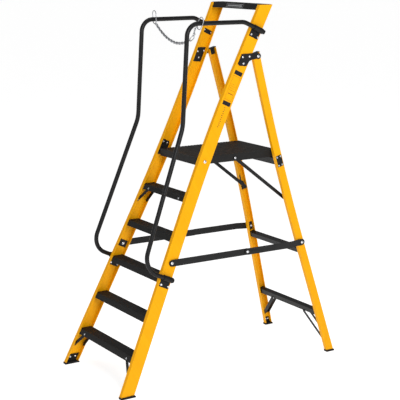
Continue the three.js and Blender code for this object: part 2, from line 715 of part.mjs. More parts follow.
const chainPoint = (x, z) => new THREE.Vector3(x, CHAIN_Y, z + RAISED);
const inFrame = (v) => new THREE.Vector3(v.x, ...stile.local(v.y, v.z));
const turned = (v) => new THREE.Vector3(v.x, v.y * stile.c - v.z * stile.s, v.y * stile.s + v.z * stile.c);

const flatwise = turned(new THREE.Vector3(0, 1, 0));
const heading = (dx, dz) => turned(new THREE.Vector3(dx, 0, dz).normalize());

const railAtChain = THREE.MathUtils.mapLinear(
  CHAIN_Y, LEVEL.front[1], LEVEL.rear[1], LEVEL.front[0], LEVEL.rear[0],
);
const ringLeft = () => link(
  inFrame(chainPoint(0.7 - railAtChain, 2394.5)), heading(-0.1, 1), flatwise, 88, 2 * TUBE_RADIUS + 14, 3,
);
const ringRight = () => link(
  inFrame(chainPoint(railAtChain - 5.7, 2380)), heading(0.62, 0.78), flatwise, 90, 2 * TUBE_RADIUS + 18, 3,
);

// The few links between the right ring and the snap hook, as the band they fill.
const ANCHOR_RUN = [[249, 2350.5], [234, 2347], [222, 2337], [216, 2322], [213.5, 2306]];
const anchorChain = () => swept(ANCHOR_RUN.map(([x, z]) => inFrame(chainPoint(x, z))), 5.5, 10);

// Snap hook: a long eye of wire with its gate side left open.
const HOOK = { centre: [186.5, 2278.5], slope: [0.87, 0.5], length: 58, width: 20, wire: 2.8 };

function hookPoint(u, v) {
  const [dx, dz] = HOOK.slope;
  const norm = Math.hypot(dx, dz);
  const x = HOOK.centre[0] + (u * dx - v * dz) / norm;
  const z = HOOK.centre[1] + (u * dz + v * dx) / norm;
  return inFrame(chainPoint(x, z));
}

function snapHook() {
  const r = HOOK.width / 2;
  const straight = HOOK.length / 2 - r;
  const path = [hookPoint(straight - 8, r)];
  for (let i = 0; i <= 6; i++) {
    const angle = Math.PI / 2 - Math.PI * i / 6;
    path.push(hookPoint(straight + r * Math.cos(angle), r * Math.sin(angle)));
  }
  for (let i = 0; i <= 6; i++) {
    const angle = -Math.PI / 2 - Math.PI * i / 6;
    path.push(hookPoint(-straight + r * Math.cos(angle), r * Math.sin(angle)));
  }
  path.push(hookPoint(-straight + 3.2, r));
  return swept(path, HOOK.wire, 8);
}

function snapGate() {
  const r = HOOK.width / 2;
  const straight = HOOK.length / 2 - r;
  const path = [hookPoint(-straight + 4.6, r), hookPoint(0, r), hookPoint(straight - 8.6, r)];
  return swept(path, 2.2, 8);
}

// The chain's run from the left ring to the snap hook, as the band its links fill.
const CHAIN_RUN = [
  [-273, 2352], [-244, 2330], [-218, 2312], [-191, 2295.5], [-164, 2281], [-137, 2268.5],
  [-110, 2258], [-84, 2250], [-57, 2243.5], [-30, 2239], [-3, 2236.5], [24, 2236],
  [50, 2238], [77, 2241.5], [104, 2247], [131, 2254.5], [157.5, 2264.5],
];
const chainRun = () => swept(CHAIN_RUN.map(([x, z]) => inFrame(chainPoint(x, z))), 10, 10);

// ---------------------------------------------------------------- assembly
const model = new THREE.Group();
const frontFrame = new THREE.Group();
const rearFrame = new THREE.Group();
frontFrame.rotation.x = -rad(FRONT_LEAN);
rearFrame.rotation.x = rad(REAR_LEAN);
rearFrame.position.y = REAR_Y;
model.add(frontFrame, rearFrame);

function add(group, name, geometry, material) {
  const mesh = new THREE.Mesh(geometry, material);
  mesh.name = name;
  group.add(mesh);
}

function addPair(group, name, geometry, material) {
  add(group, `${name}_right`, geometry, material);
  add(group, `${name}_left`, mirrored(geometry), material);
}

addPair(frontFrame, 'stile', stileRight(), FIBREGLASS);
addPair(frontFrame, 'foot_front', foot(stile, 66, 8, 80, [[26, 46], [62, 46]]), RUBBER);
for (let i = 1; i <= STEPS; i++) add(frontFrame, `tread_${i}`, tread(i), BLACK);
for (const i of [1, STEPS]) addPair(frontFrame, `tread_${i}_brace_rear`, treadBrace(i, false), BLACK);
addPair(frontFrame, 'tread_1_brace_front', treadBrace(1, true), BLACK);
add(frontFrame, 'tread_5_brace_front_left', mirrored(treadBrace(STEPS, true)), BLACK);
add(frontFrame, 'top_rail', topRail(), BLACK);
addPair(frontFrame, 'hinge_plate', hingePlate(), BLACK);
addPair(frontFrame, 'deck_bracket', deckBracket(), BLACK);
addPair(frontFrame, 'stay_pad_front', stayBacking(stile, STAY_ON_STILE, 60, 50), BLACK);
addPair(frontFrame, 'handrail', handrail(), BLACK);
addPair(frontFrame, 'clamp_upper', railClamp(CLAMP.upper), BLACK);
addPair(frontFrame, 'clamp_lower', railClamp(CLAMP.lower), BLACK);
add(frontFrame, 'chain_ring_left', ringLeft(), ZINC);
add(frontFrame, 'chain_ring_right', ringRight(), ZINC);
add(frontFrame, 'anchor_chain', anchorChain(), ZINC);
add(frontFrame, 'snap_hook', snapHook(), ZINC);
add(frontFrame, 'snap_gate', snapGate(), ZINC);
add(frontFrame, 'safety_chain', chainRun(), ZINC);

addPair(rearFrame, 'leg', legRight(), FIBREGLASS);
addPair(rearFrame, 'foot_rear', foot(leg, 60, 8, 48, [[18, 44], [38, 44]]), RUBBER);
addPair(rearFrame, 'leg_cap', legCap(), BLACK);
addPair(rearFrame, 'stay_pad_rear', stayBacking(leg, STAY_ON_LEG, 24, 60), BLACK);
addPair(rearFrame, 'strut_bracket', strutBracket(), BLACK);
add(rearFrame, 'crossbar_deck', deckBar(), BLACK);
add(rearFrame, 'crossbar_upper', upperBar(), BLACK);
add(rearFrame, 'crossbar_lower', lowerBar(), BLACK);
addPair(rearFrame, 'crossbar_brace', lowerBrace(), BLACK);

add(model, 'platform_deck', deck(), BLACK);
addPair(model, 'platform_strut', strut(), BLACK);
addPair(model, 'stay_front', stayFront(), BLACK);
addPair(model, 'stay_rear', stayRear(), BLACK);

// The origin goes to the middle of the footprint.
const extent = new THREE.Box3().setFromObject(model, true);
model.position.y = -(extent.min.y + extent.max.y) / 2;

const root = new THREE.Group();
root.add(model);
export default root;
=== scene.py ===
"""Looks of the folding platform step ladder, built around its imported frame.

Metres, +Z up. X is the width, -Y is the climbing side and +Y is the prop side.
"""

import json
import math
import random

import bmesh
import bpy
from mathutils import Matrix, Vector
from mathutils.bvhtree import BVHTree


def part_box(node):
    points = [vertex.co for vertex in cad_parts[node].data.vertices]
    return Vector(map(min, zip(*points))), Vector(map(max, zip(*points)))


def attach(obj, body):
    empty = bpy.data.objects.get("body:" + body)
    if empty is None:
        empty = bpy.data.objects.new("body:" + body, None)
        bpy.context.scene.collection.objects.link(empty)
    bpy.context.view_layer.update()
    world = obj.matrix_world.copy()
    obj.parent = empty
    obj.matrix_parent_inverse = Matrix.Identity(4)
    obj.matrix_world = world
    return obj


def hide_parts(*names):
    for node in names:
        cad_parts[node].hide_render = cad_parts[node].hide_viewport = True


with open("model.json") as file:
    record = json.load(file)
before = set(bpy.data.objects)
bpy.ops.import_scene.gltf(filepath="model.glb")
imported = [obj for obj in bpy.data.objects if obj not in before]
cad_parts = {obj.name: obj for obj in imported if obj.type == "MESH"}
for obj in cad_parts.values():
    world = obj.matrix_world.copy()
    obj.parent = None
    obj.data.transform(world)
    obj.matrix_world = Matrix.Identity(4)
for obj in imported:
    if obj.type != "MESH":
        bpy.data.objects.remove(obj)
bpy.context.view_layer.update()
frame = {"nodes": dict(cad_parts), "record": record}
NODES = frame["nodes"]
BODY_OF = {node: body for body, nodes in
           frame["record"]["behaviour"]["bodies"].items() for node in nodes}
random.seed(7)

# ---------------------------------------------------------------- camera
CAMERA_AT = (6.710, -4.3346, 2.824)
CAMERA_TURN = math.radians(57.24)
CAMERA_DIP = math.radians(11.86)
CAMERA_LENS = 105.9

# ---------------------------------------------------------------- the frame's main lines
FRONT_LEAN = math.radians(25)
REAR_LEAN = math.radians(15.6)

# The chain hangs in one plane across the entry: (x, z) of its run, left ring to snap hook.
CHAIN_Y = -0.1996
CHAIN_RUN = [
    (-0.273, 2.352), (-0.244, 2.330), (-0.218, 2.312), (-0.191, 2.2955), (-0.164, 2.281),
    (-0.137, 2.2685), (-0.110, 2.258), (-0.084, 2.250), (-0.057, 2.2435), (-0.030, 2.239),
    (-0.003, 2.2365), (0.024, 2.236), (0.050, 2.238), (0.077, 2.2415), (0.104, 2.247),
    (0.131, 2.2545), (0.1575, 2.2645),
]
ANCHOR_RUN = [(0.249, 2.3505), (0.234, 2.347), (0.222, 2.337), (0.216, 2.322), (0.2135, 2.306)]
RING_WIRE = 0.003
HOOK = {"centre": (0.1865, 2.2785), "slope": (0.87, 0.5), "length": 0.058, "width": 0.020,
        "wire": 0.0028}
FRAME_SHIFT = -0.8936
# reach: how far the end links go past the ends of the run
LINK = {"length": 0.031, "width": 0.0205, "wire": 0.0032, "reach": 0.0075}
SMALL_LINK = {"length": 0.022, "width": 0.0130, "wire": 0.0021, "reach": 0.009}

# Each handrail: corners of its centre line on the right side, and the radius at each bend.
RAIL_CORNERS = [
    (0.3094, 0.2901, 2.3068), (0.3094, 0.1741, 2.3609), (0.3054, 0.1324, 2.3800),
    (0.2890, -0.2976, 2.3800), (0.2900, -0.3366, 1.7140), (0.3531, -0.6796, 0.8260),
    (0.3611, -0.5599, 0.7678), (0.3611, -0.4584, 0.7204),
]
RAIL_BENDS = [0.300, 0.090, 0.085, 0.240, 0.122, 0.150]
RAIL_RADIUS = 0.015


# ---------------------------------------------------------------- node helpers
class Nodes:
    """A material's node tree, with short ways to add and join nodes."""

    def __init__(self, name):
        self.material = bpy.data.materials.new(name)
        self.material.use_nodes = True
        self.tree = self.material.node_tree
        self.shader = self.tree.nodes["Principled BSDF"]

    def add(self, kind, **settings):
        node = self.tree.nodes.new(kind)
        for key, value in settings.items():
            setattr(node, key, value)
        return node

    def join(self, source, target):
        self.tree.links.new(source, target)

    def place(self, scale, rotation=(0, 0, 0)):
        """Object coordinates, turned and then stretched."""
        where = self.add("ShaderNodeTexCoord")
        turn = self.add("ShaderNodeMapping")
        turn.inputs["Rotation"].default_value = rotation
        stretch = self.add("ShaderNodeMapping")
        stretch.inputs["Scale"].default_value = scale
        self.join(where.outputs["Object"], turn.inputs["Vector"])
        self.join(turn.outputs["Vector"], stretch.inputs["Vector"])
        return stretch.outputs["Vector"]

    def noise(self, vector, scale, detail=3.0, roughness=0.55):
        node = self.add("ShaderNodeTexNoise")
        node.inputs["Scale"].default_value = scale
        node.inputs["Detail"].default_value = detail
        node.inputs["Roughness"].default_value = roughness
        self.join(vector, node.inputs["Vector"])
        return node.outputs["Fac"]

    def ramp(self, fac, stops):
        node = self.add("ShaderNodeValToRGB")
        elements = node.color_ramp.elements
        while len(elements) < len(stops):
            elements.new(0.5)
        for element, (at, colour) in zip(elements, stops):
            element.position = at
            element.color = (*colour, 1)
        self.join(fac, node.inputs["Fac"])
        return node.outputs["Color"]

    def spread(self, fac, low, high, start=0.3, end=0.7):
        node = self.add("ShaderNodeMapRange")
        node.inputs["From Min"].default_value = start
        node.inputs["From Max"].default_value = end
        node.inputs["To Min"].default_value = low
        node.inputs["To Max"].default_value = high
        self.join(fac, node.inputs["Value"])
        return node.outputs["Result"]

    def math(self, how, a, b):
        node = self.add("ShaderNodeMath", operation=how)
        for socket, value in zip(node.inputs, (a, b)):
            if isinstance(value, (int, float)):
                socket.default_value = value
            else:
                self.join(value, socket)
        return node.outputs["Value"]

    def blend(self, fac, a, b):
        node = self.add("ShaderNodeMix", data_type="RGBA")
        self.join(fac, node.inputs["Factor"])
        for name, value in (("A", a), ("B", b)):
            socket = [s for s in node.inputs if s.name == name and s.type == "RGBA"][0]
            if isinstance(value, tuple):
                socket.default_value = (*value, 1)
            else:
                self.join(value, socket)
        return [s for s in node.outputs if s.type == "RGBA"][0]

    def bumps(self, *layers):
        """Stacks (height, strength, distance) layers into one normal."""
        last = None
        for height, strength, distance in layers:
            node = self.add("ShaderNodeBump")
            node.inputs["Strength"].default_value = strength
            node.inputs["Distance"].default_value = distance
            self.join(height, node.inputs["Height"])
            if last:
                self.join(last, node.inputs["Normal"])
            last = node.outputs["Normal"]
        self.join(last, self.shader.inputs["Normal"])

    def edges(self, radius):
        """Near 1 along edges and near 0 on flats."""
        soft = self.add("ShaderNodeBevel", samples=4)
        soft.inputs["Radius"].default_value = radius
        sharp = self.add("ShaderNodeNewGeometry")
        dot = self.add("ShaderNodeVectorMath", operation="DOT_PRODUCT")
        self.join(soft.outputs["Normal"], dot.inputs[0])
        self.join(sharp.outputs["True Normal"], dot.inputs[1])
        return self.spread(dot.outputs["Value"], 1.0, 0.0, 0.75, 0.98)

    def finish(self, colour, roughness, metallic=0.0, specular=0.5, coat=0.0):
        self.join(colour, self.shader.inputs["Base Color"])
        self.join(roughness, self.shader.inputs["Roughness"])
        self.shader.inputs["Metallic"].default_value = metallic
        self.shader.inputs["Specular IOR Level"].default_value = specular
        self.shader.inputs["Coat Weight"].default_value = coat
        return self.material


# ---------------------------------------------------------------- materials
def fibreglass(name, lean):
    """Pultruded yellow fibreglass: long glass strands under a satin skin."""
    m = Nodes(name)
    along = m.place((1, 1, 0.025), (-lean, 0, 0))
    cloudy = m.noise(m.place((1, 1, 0.25), (-lean, 0, 0)), 14, 4)
    strands = m.noise(along, 420, 4, 0.7)
    rovings = m.noise(along, 90, 3)
    base = m.ramp(cloudy, [(0.25, (0.80, 0.345, 0.0012)), (0.75, (0.90, 0.405, 0.002))])
    streaked = m.blend(m.spread(strands, 0.0, 0.32), base, (0.94, 0.46, 0.004))
    deeper = m.blend(m.spread(rovings, 0.0, 0.22, 0.5, 0.8), streaked, (0.62, 0.24, 0.001))
    # edges painted a paler yellow: partly fibre bloom from use, partly a painted highlight where
    # edges catch the light
    wear_and_edge_highlight = m.blend(m.math("MULTIPLY", m.edges(0.0012), 0.35), deeper, (0.97, 0.58, 0.06))
    m.bumps((rovings, 0.10, 0.0006), (strands, 0.12, 0.0002))
    rough = m.spread(strands, 0.30, 0.46)
    return m.finish(wear_and_edge_highlight, rough, specular=0.10)


def powder_coat(name, tone, rough, wear_and_sheen=0.5, grain=2200):
    """Black powder coat: orange-peel skin, its edges painted paler, partly as rub marks and partly
    as a painted sheen.
    """
    m = Nodes(name)
    even = m.place((1, 1, 1))
    peel = m.noise(even, grain, 2)
    patches = m.noise(even, 18, 4)
    dark = tuple(0.75 * c for c in tone)
    light = tuple(1.35 * c for c in tone)
    base = m.ramp(patches, [(0.3, dark), (0.7, light)])
    # edges painted paler: partly rub marks, partly a painted sheen where edges catch the light
    edge_wear_and_sheen = m.math("MULTIPLY", m.edges(0.0010), m.spread(patches, 0.2 * wear_and_sheen, wear_and_sheen))
    colour = m.blend(edge_wear_and_sheen, base, (0.06, 0.06, 0.06))
    m.bumps((peel, 0.18, 0.0002))
    return m.finish(colour, m.spread(patches, rough - 0.05, rough + 0.07), specular=0.22)


def grip_extrusion(name, pitch):
    """Matt black tread surface, dusty in the grooves and serrated on top of its ribs."""
    m = Nodes(name)
    even = m.place((1, 1, 1))
    wave = m.add("ShaderNodeTexWave", wave_type="BANDS", bands_direction="X")
    wave.inputs["Scale"].default_value = 1 / pitch / 2
    wave.inputs["Distortion"].default_value = 0.15
    m.join(even, wave.inputs["Vector"])
    facing = m.add("ShaderNodeNewGeometry")
    up = m.add("ShaderNodeSeparateXYZ")
    m.join(facing.outputs["True Normal"], up.inputs["Vector"])
    serration = m.math("MULTIPLY", wave.outputs["Fac"], m.spread(up.outputs["Z"], 0, 1, 0.8, 0.95))
    dust = m.noise(even, 26, 5)
    grit = m.noise(even, 1400, 3)
    base = m.ramp(dust, [(0.3, (0.0075, 0.0075, 0.0075)), (0.75, (0.014, 0.0135, 0.013))])
    # edges painted paler grey: partly rub marks on the rib tops, partly a painted sheen where
    # edges catch the light
    edge_wear_and_sheen = m.math("MULTIPLY", m.edges(0.0010), m.spread(dust, 0.25, 0.6))
    colour = m.blend(edge_wear_and_sheen, base, (0.055, 0.055, 0.054))
    m.bumps((grit, 0.25, 0.0003), (serration, 0.35, 0.0006))
    return m.finish(colour, m.spread(dust, 0.50, 0.68), specular=0.2)


def moulded(name, tone, rough):
    """Moulded black plastic or rubber with a fine spark-eroded grain."""
    m = Nodes(name)
    even = m.place((1, 1, 1))
    grain = m.noise(even, 1800, 2)
    scuffs = m.noise(even, 40, 6, 0.7)
    dark = tuple(0.8 * c for c in tone)
    light = tuple(1.7 * c for c in tone)
    base = m.ramp(scuffs, [(0.35, dark), (0.8, light)])
    m.bumps((grain, 0.3, 0.0002), (scuffs, 0.08, 0.0006))
    return m.finish(base, m.spread(scuffs, rough - 0.06, rough + 0.08), specular=0.2)


def zinc(name, tone, rough):
    """Zinc plating: bright metal with a cloudy passivated skin."""
    m = Nodes(name)
    even = m.place((1, 1, 1))
    clouds = m.noise(even, 160, 4)
    scratches = m.noise(even, 2400, 2)
    light = tuple(min(1.0, 1.12 * c) for c in tone)
    dark = tuple(0.80 * c for c in tone)
    base = m.ramp(clouds, [(0.3, dark), (0.7, light)])
    m.bumps((scratches, 0.08, 0.0001))
    return m.finish(base, m.spread(clouds, rough - 0.06, rough + 0.10), metallic=1.0)


def floor_paint(name):
    """Near-white studio floor, lit a little from within so shadows stay faint."""
    m = Nodes(name)
    speck = m.noise(m.place((1, 1, 1)), 3, 2)
    base = m.ramp(speck, [(0.3, (0.90, 0.90, 0.90)), (0.7, (0.93, 0.93, 0.93))])
    m.shader.inputs["Emission Color"].default_value = (1, 1, 1, 1)
    m.shader.inputs["Emission Strength"].default_value = 0.68
    return m.finish(base, m.spread(speck, 0.75, 0.85), specular=0.1)


MATERIALS = {
    "stile": fibreglass("fibreglass_stile", FRONT_LEAN),
    "leg": fibreglass("fibreglass_leg", -REAR_LEAN),
    "black_extrusion": grip_extrusion("ribbed_extrusion", 0.004),
    "black_tube": powder_coat("tube_coat", (0.007, 0.007, 0.0075), 0.33, 0.3),
    "black_steel": powder_coat("plate_coat", (0.008, 0.008, 0.0085), 0.42),
    "black_moulding": moulded("clamp_moulding", (0.007, 0.007, 0.0075), 0.45),
    "rubber": moulded("foot_rubber", (0.007, 0.007, 0.007), 0.72),
    "zinc_steel": zinc("chain_zinc", (0.40, 0.41, 0.43), 0.34),
    "fastener": zinc("fastener_zinc", (0.72, 0.73, 0.75), 0.26),
    "label_dark": moulded("label_dark", (0.012, 0.012, 0.013), 0.4),
    "label_pale": moulded("label_pale", (0.26, 0.26, 0.27), 0.4),
    "label_brown": moulded("label_brown", (0.20, 0.055, 0.003), 0.4),
}
SLOT_OF = {part["node"]: part["material_slot"] for part in frame["record"]["subparts"]}


def material_for(node):
    if SLOT_OF[node] == "fibreglass":
        return MATERIALS["stile" if node.startswith("stile") else "leg"]
    return MATERIALS[SLOT_OF[node]]


# ---------------------------------------------------------------- meshes
def new_object(name, mesh):
    thing = bpy.data.objects.new(name, mesh)
    bpy.context.scene.collection.objects.link(thing)
    return thing


def as_object(name, bm, material, smooth=True):
    mesh = bpy.data.meshes.new(name)
    bmesh.ops.recalc_face_normals(bm, faces=bm.faces)
    bm.to_mesh(mesh)
    bm.free()
    mesh.materials.append(material)
    if smooth:
        mesh.shade_smooth()
        mesh.set_sharp_from_angle(angle=math.radians(40))
    return new_object(name, mesh)


def rounded(corners, bends, step=math.radians(9)):
    """The corners joined by straight runs, each corner turned with an arc of its radius."""
    corners = [Vector(c) for c in corners]
    path = [corners[0]]
    for i, radius in enumerate(bends, 1):
        here = corners[i]
        back = (corners[i - 1] - here).normalized()
        ahead = (corners[i + 1] - here).normalized()
        half = back.angle(ahead) / 2
        centre = here + (back + ahead).normalized() * radius / math.sin(half)
        spoke_in = here + back * radius / math.tan(half) - centre
        spoke_out = here + ahead * radius / math.tan(half) - centre
        turn = spoke_in.angle(spoke_out)
        count = max(2, round(turn / step))
        for k in range(count + 1):
            share = k / count
            spoke = spoke_in * math.sin((1 - share) * turn) + spoke_out * math.sin(share * turn)
            path.append(centre + spoke / math.sin(turn))
    path.append(corners[-1])
    return path


def sweep(bm, path, radius, sides=12, closed=False, dome=0.0):
    """A round bar along a path, its ends flat or slightly domed."""
    count = len(path)
    rings = []
    side = None
    for i, point in enumerate(path):
        before = path[i - 1] if closed or i else path[i]
        after = path[(i + 1) % count] if closed or i < count - 1 else path[i]
        ahead = (after - before).normalized()
        if side is None:
            side = ahead.orthogonal().normalized()
        side = (side - ahead * side.dot(ahead)).normalized()
        across = ahead.cross(side)
        ring = []
        for k in range(sides):
            angle = 2 * math.pi * k / sides
            offset = side * math.cos(angle) + across * math.sin(angle)
            ring.append(bm.verts.new(point + offset * radius))
        rings.append(ring)
    pairs = list(zip(rings, rings[1:]))
    if closed:
        pairs.append((rings[-1], rings[0]))
    for low, high in pairs:
        for k in range(sides):
            after = (k + 1) % sides
            bm.faces.new((low[k], low[after], high[after], high[k]))
    if closed:
        return
    for ring, tip, inner in ((rings[0], path[0], path[1]), (rings[-1], path[-1], path[-2])):
        out = (tip - inner).normalized()
        last = ring
        for share, rise in ((0.75, 0.7), (0.35, 0.95)):
            shrunk = [bm.verts.new(tip + (v.co - tip) * share + out * dome * rise) for v in ring]
            for k in range(sides):
                after = (k + 1) % sides
                bm.faces.new((last[k], last[after], shrunk[after], shrunk[k]))
            last = shrunk
        bm.faces.new(last)


def stadium(centre, along, side, length, width, bend_steps=6):
    """The centre line of an oblong ring, as a closed path."""
    radius = width / 2
    straight = length / 2 - radius
    path = []
    for end in (1, -1):
        for k in range(bend_steps + 1):
            angle = -math.pi / 2 + math.pi * k / bend_steps
            u = straight + radius * math.cos(angle)
            v = radius * math.sin(angle)
            path.append(centre + along * u * end + side * v * end)
    return path


def upright(points):
    return [Vector((x, CHAIN_Y, z)) for x, z in points]


def at_length(path, distance):
    """The point and direction at a distance along a path, running on straight past its ends."""
    left = distance
    for a, b in zip(path, path[1:]):
        step = (b - a).length
        if left <= step:
            break
        left -= step
    else:
        left += step
    ahead = (b - a).normalized()
    return a + ahead * left, ahead


def length_of(path):
    return sum((b - a).length for a, b in zip(path, path[1:]))


def stand_for(piece, node):
    """The piece takes a CAD node's place, on the node's own body."""
    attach(piece, BODY_OF[node])
    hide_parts(node)


# ---------------------------------------------------------------- camera first, then the chain
def make_camera():
    data = bpy.data.cameras.new("camera")
    data.lens = CAMERA_LENS
    data.clip_end = 400
    camera = new_object("camera", data)
    camera.location = CAMERA_AT
    camera.rotation_euler = (math.pi / 2 - CAMERA_DIP, 0, CAMERA_TURN)
    bpy.context.scene.camera = camera


def chain(name, node, run, size):
    """Welded links, each a quarter turn from the last, threaded on what holds each end."""
    path = upright(run)
    reach = size["reach"]
    total = length_of(path) + 2 * reach
    pitch = size["length"] - 4 * size["wire"]
    count = round((total - 4 * size["wire"]) / pitch)
    if count % 2 == 0:
        count += 1
    pitch = (total - size["length"]) / (count - 1)
    bm = bmesh.new()
    for i in range(count):
        at = size["length"] / 2 + pitch * i - reach
        centre, ahead = at_length(path, at)
        level = ahead.cross(Vector((0, 1, 0))).normalized()
        roll = (0 if i % 2 else math.pi / 2) + random.uniform(-0.12, 0.12)
        side = level * math.cos(roll) + Vector((0, 1, 0)) * math.sin(roll)
        loop = stadium(centre, ahead, side, size["length"] - 2 * size["wire"],
                       size["width"] - 2 * size["wire"])
        sweep(bm, loop, size["wire"], 8, closed=True)
    piece = as_object(name, bm, MATERIALS["zinc_steel"])
    stand_for(piece, node)
    return piece, path


make_camera()
main_chain, chain_path = chain("chain_links", "safety_chain", CHAIN_RUN, LINK)
chain("anchor_links", "anchor_chain", ANCHOR_RUN, SMALL_LINK)


# ---------------------------------------------------------------- finished copies of CAD nodes
def tidy_copy(node):
    """The node's own solid, welded and with its flat faces whole."""
    bm = bmesh.new()
    bm.from_mesh(NODES[node].data)
    bmesh.ops.remove_doubles(bm, verts=bm.verts, dist=1e-5)
    bmesh.ops.dissolve_limit(bm, angle_limit=math.radians(0.6), verts=bm.verts, edges=bm.edges)
    return bm


def eased(node, width):
    """Stands for a CAD node: the same solid with its edges rounded over."""
    bm = tidy_copy(node)
    piece = as_object(node + "_finished", bm, material_for(node))
    piece.data.shade_smooth()
    bevel = piece.modifiers.new("rounding", "BEVEL")
    bevel.width = width
    bevel.segments = 2
    bevel.limit_method = "ANGLE"
    bevel.angle_limit = math.radians(34)
    bevel.harden_normals = True
    graph = bpy.context.evaluated_depsgraph_get()
    mesh = bpy.data.meshes.new_from_object(piece.evaluated_get(graph))
    piece.modifiers.clear()
    piece.data = mesh
    stand_for(piece, node)


# ---------------------------------------------------------------- fasteners
def round_faces(node):
    """Small flat regular faces of a node: (centre, normal, radius, number of sides)."""
    bm = tidy_copy(node)
    found = []
    for face in bm.faces:
        count = len(face.verts)
        if count not in (6, 10, 12):
            continue
        centre = face.calc_center_median()
        reach = [(v.co - centre).length for v in face.verts]
        if max(reach) > 0.012 or max(reach) - min(reach) > 0.03 * max(reach):
            continue
        found.append((centre.copy(), face.normal.copy(), max(reach), count))
    bm.free()
    return found


def lathe(bm, centre, axis, profile, sides):
    """A turned shape: profile points are (radius, height) from the base up to the axis."""
    side = axis.orthogonal().normalized()
    across = axis.cross(side)
    rings = []
    for radius, height in profile:
        ring = []
        for k in range(sides):
            angle = 2 * math.pi * k / sides
            offset = side * math.cos(angle) + across * math.sin(angle)
            ring.append(bm.verts.new(centre + axis * height + offset * radius))
        rings.append(ring)
    for low, high in zip(rings, rings[1:]):
        for k in range(sides):
            after = (k + 1) % sides
            bm.faces.new((low[k], low[after], high[after], high[k]))
    bm.faces.new(rings[0][::-1])
    bm.faces.new(rings[-1])


def rivet(bm, centre, axis, radius):
    """Domed blind rivet with the dimple its mandrel leaves."""
    height = radius * 0.42
    profile = [(radius, 0), (radius * 1.02, height * 0.18)]
    for k in range(1, 6):
        angle = math.pi / 2 * k / 6
        profile.append((radius * math.cos(angle), height * (0.18 + 0.82 * math.sin(angle))))
    profile += [(radius * 0.20, height), (radius * 0.16, height * 0.72),
                (radius * 0.05, height * 0.68)]
    lathe(bm, centre, axis, profile, 20)


def hex_bolt(bm, centre, axis, radius, height):
    """Washer under a chamfered hexagon head."""
    washer = [(radius * 1.28, 0), (radius * 1.32, 0.0004), (radius * 1.28, 0.0012),
              (radius * 0.5, 0.0012)]
    lathe(bm, centre, axis, washer, 24)
    flats = [(radius * 1.06, 0.0008), (radius * 1.06, height * 0.86),
             (radius * 0.88, height), (radius * 0.3, height)]
    lathe(bm, centre, axis, flats, 6)


HEAD_TAPER = 0.6
RIVET_RISE = 0.0024
NUT_HEIGHT = 0.0062
PIN_SHOWS = 0.0045


def fasteners(body, nodes):
    """Bright heads over every rivet and bolt of one body."""
    bm = bmesh.new()
    for node in nodes:
        for centre, normal, radius, sides in round_faces(node):
            if sides == 6 and node.startswith("clamp"):
                hex_bolt(bm, centre - normal * NUT_HEIGHT, normal, radius, NUT_HEIGHT + 0.0004)
            elif sides == 10 and radius < 0.0062:
                full = radius / HEAD_TAPER
                base = centre - normal * (RIVET_RISE if full < 0.0085 else 0.0030)
                rivet(bm, base, normal, full * 1.12)
            elif sides == 12 and node.startswith("stay_") and abs(normal.x) > 0.9:
                hex_bolt(bm, centre - normal * PIN_SHOWS, normal, 0.0085, PIN_SHOWS + 0.002)
    if not bm.verts:
        bm.free()
        return
    piece = as_object("fasteners_" + body, bm, MATERIALS["fastener"])
    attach(piece, body)


BEVELS = {"fibreglass": 0.0012, "black_extrusion": 0.0004, "black_steel": 0.0005,
          "black_moulding": 0.0008, "rubber": 0.0012}
for node_name in sorted(NODES):
    if SLOT_OF[node_name] in BEVELS:
        eased(node_name, BEVELS[SLOT_OF[node_name]])
for body_name, members in frame["record"]["behaviour"]["bodies"].items():
    fasteners(body_name, members)


# ---------------------------------------------------------------- handrails, rings and hook
def handrail(name, sign):
    bm = bmesh.new()
    corners = [(sign * x, y, z) for x, y, z in RAIL_CORNERS]
    sweep(bm, rounded(corners, RAIL_BENDS, math.radians(6)), RAIL_RADIUS, 28, dome=0.0025)
    stand_for(as_object(name + "_tube", bm, MATERIALS["black_tube"]), name)


handrail("handrail_right", 1)
handrail("handrail_left", -1)


def chain_ring(node, centre, heading, length, width):
    """A bent wire ring round the handrail, butted on one long side."""
    along = Vector((heading[0], 0, heading[1])).normalized()
    side = Vector((0, 1, 0)).cross(along)
    middle = upright([centre])[0]
    loop = stadium(middle, along, side, length, width, 14)
    start = len(loop) - 1
    path = loop[start:] + loop[:start]
    seam = path[0].lerp(path[-1], 0.52)
    end = path[0].lerp(path[-1], 0.48)
    bm = bmesh.new()
    sweep(bm, [end] + path + [seam], RING_WIRE, 14, dome=0.0003)
    stand_for(as_object(node + "_wire", bm, MATERIALS["zinc_steel"]), node)


def hook_point(u, v):
    along = Vector((HOOK["slope"][0], 0, HOOK["slope"][1])).normalized()
    up = Vector((-along.z, 0, along.x))
    return upright([HOOK["centre"]])[0] + along * u + up * v


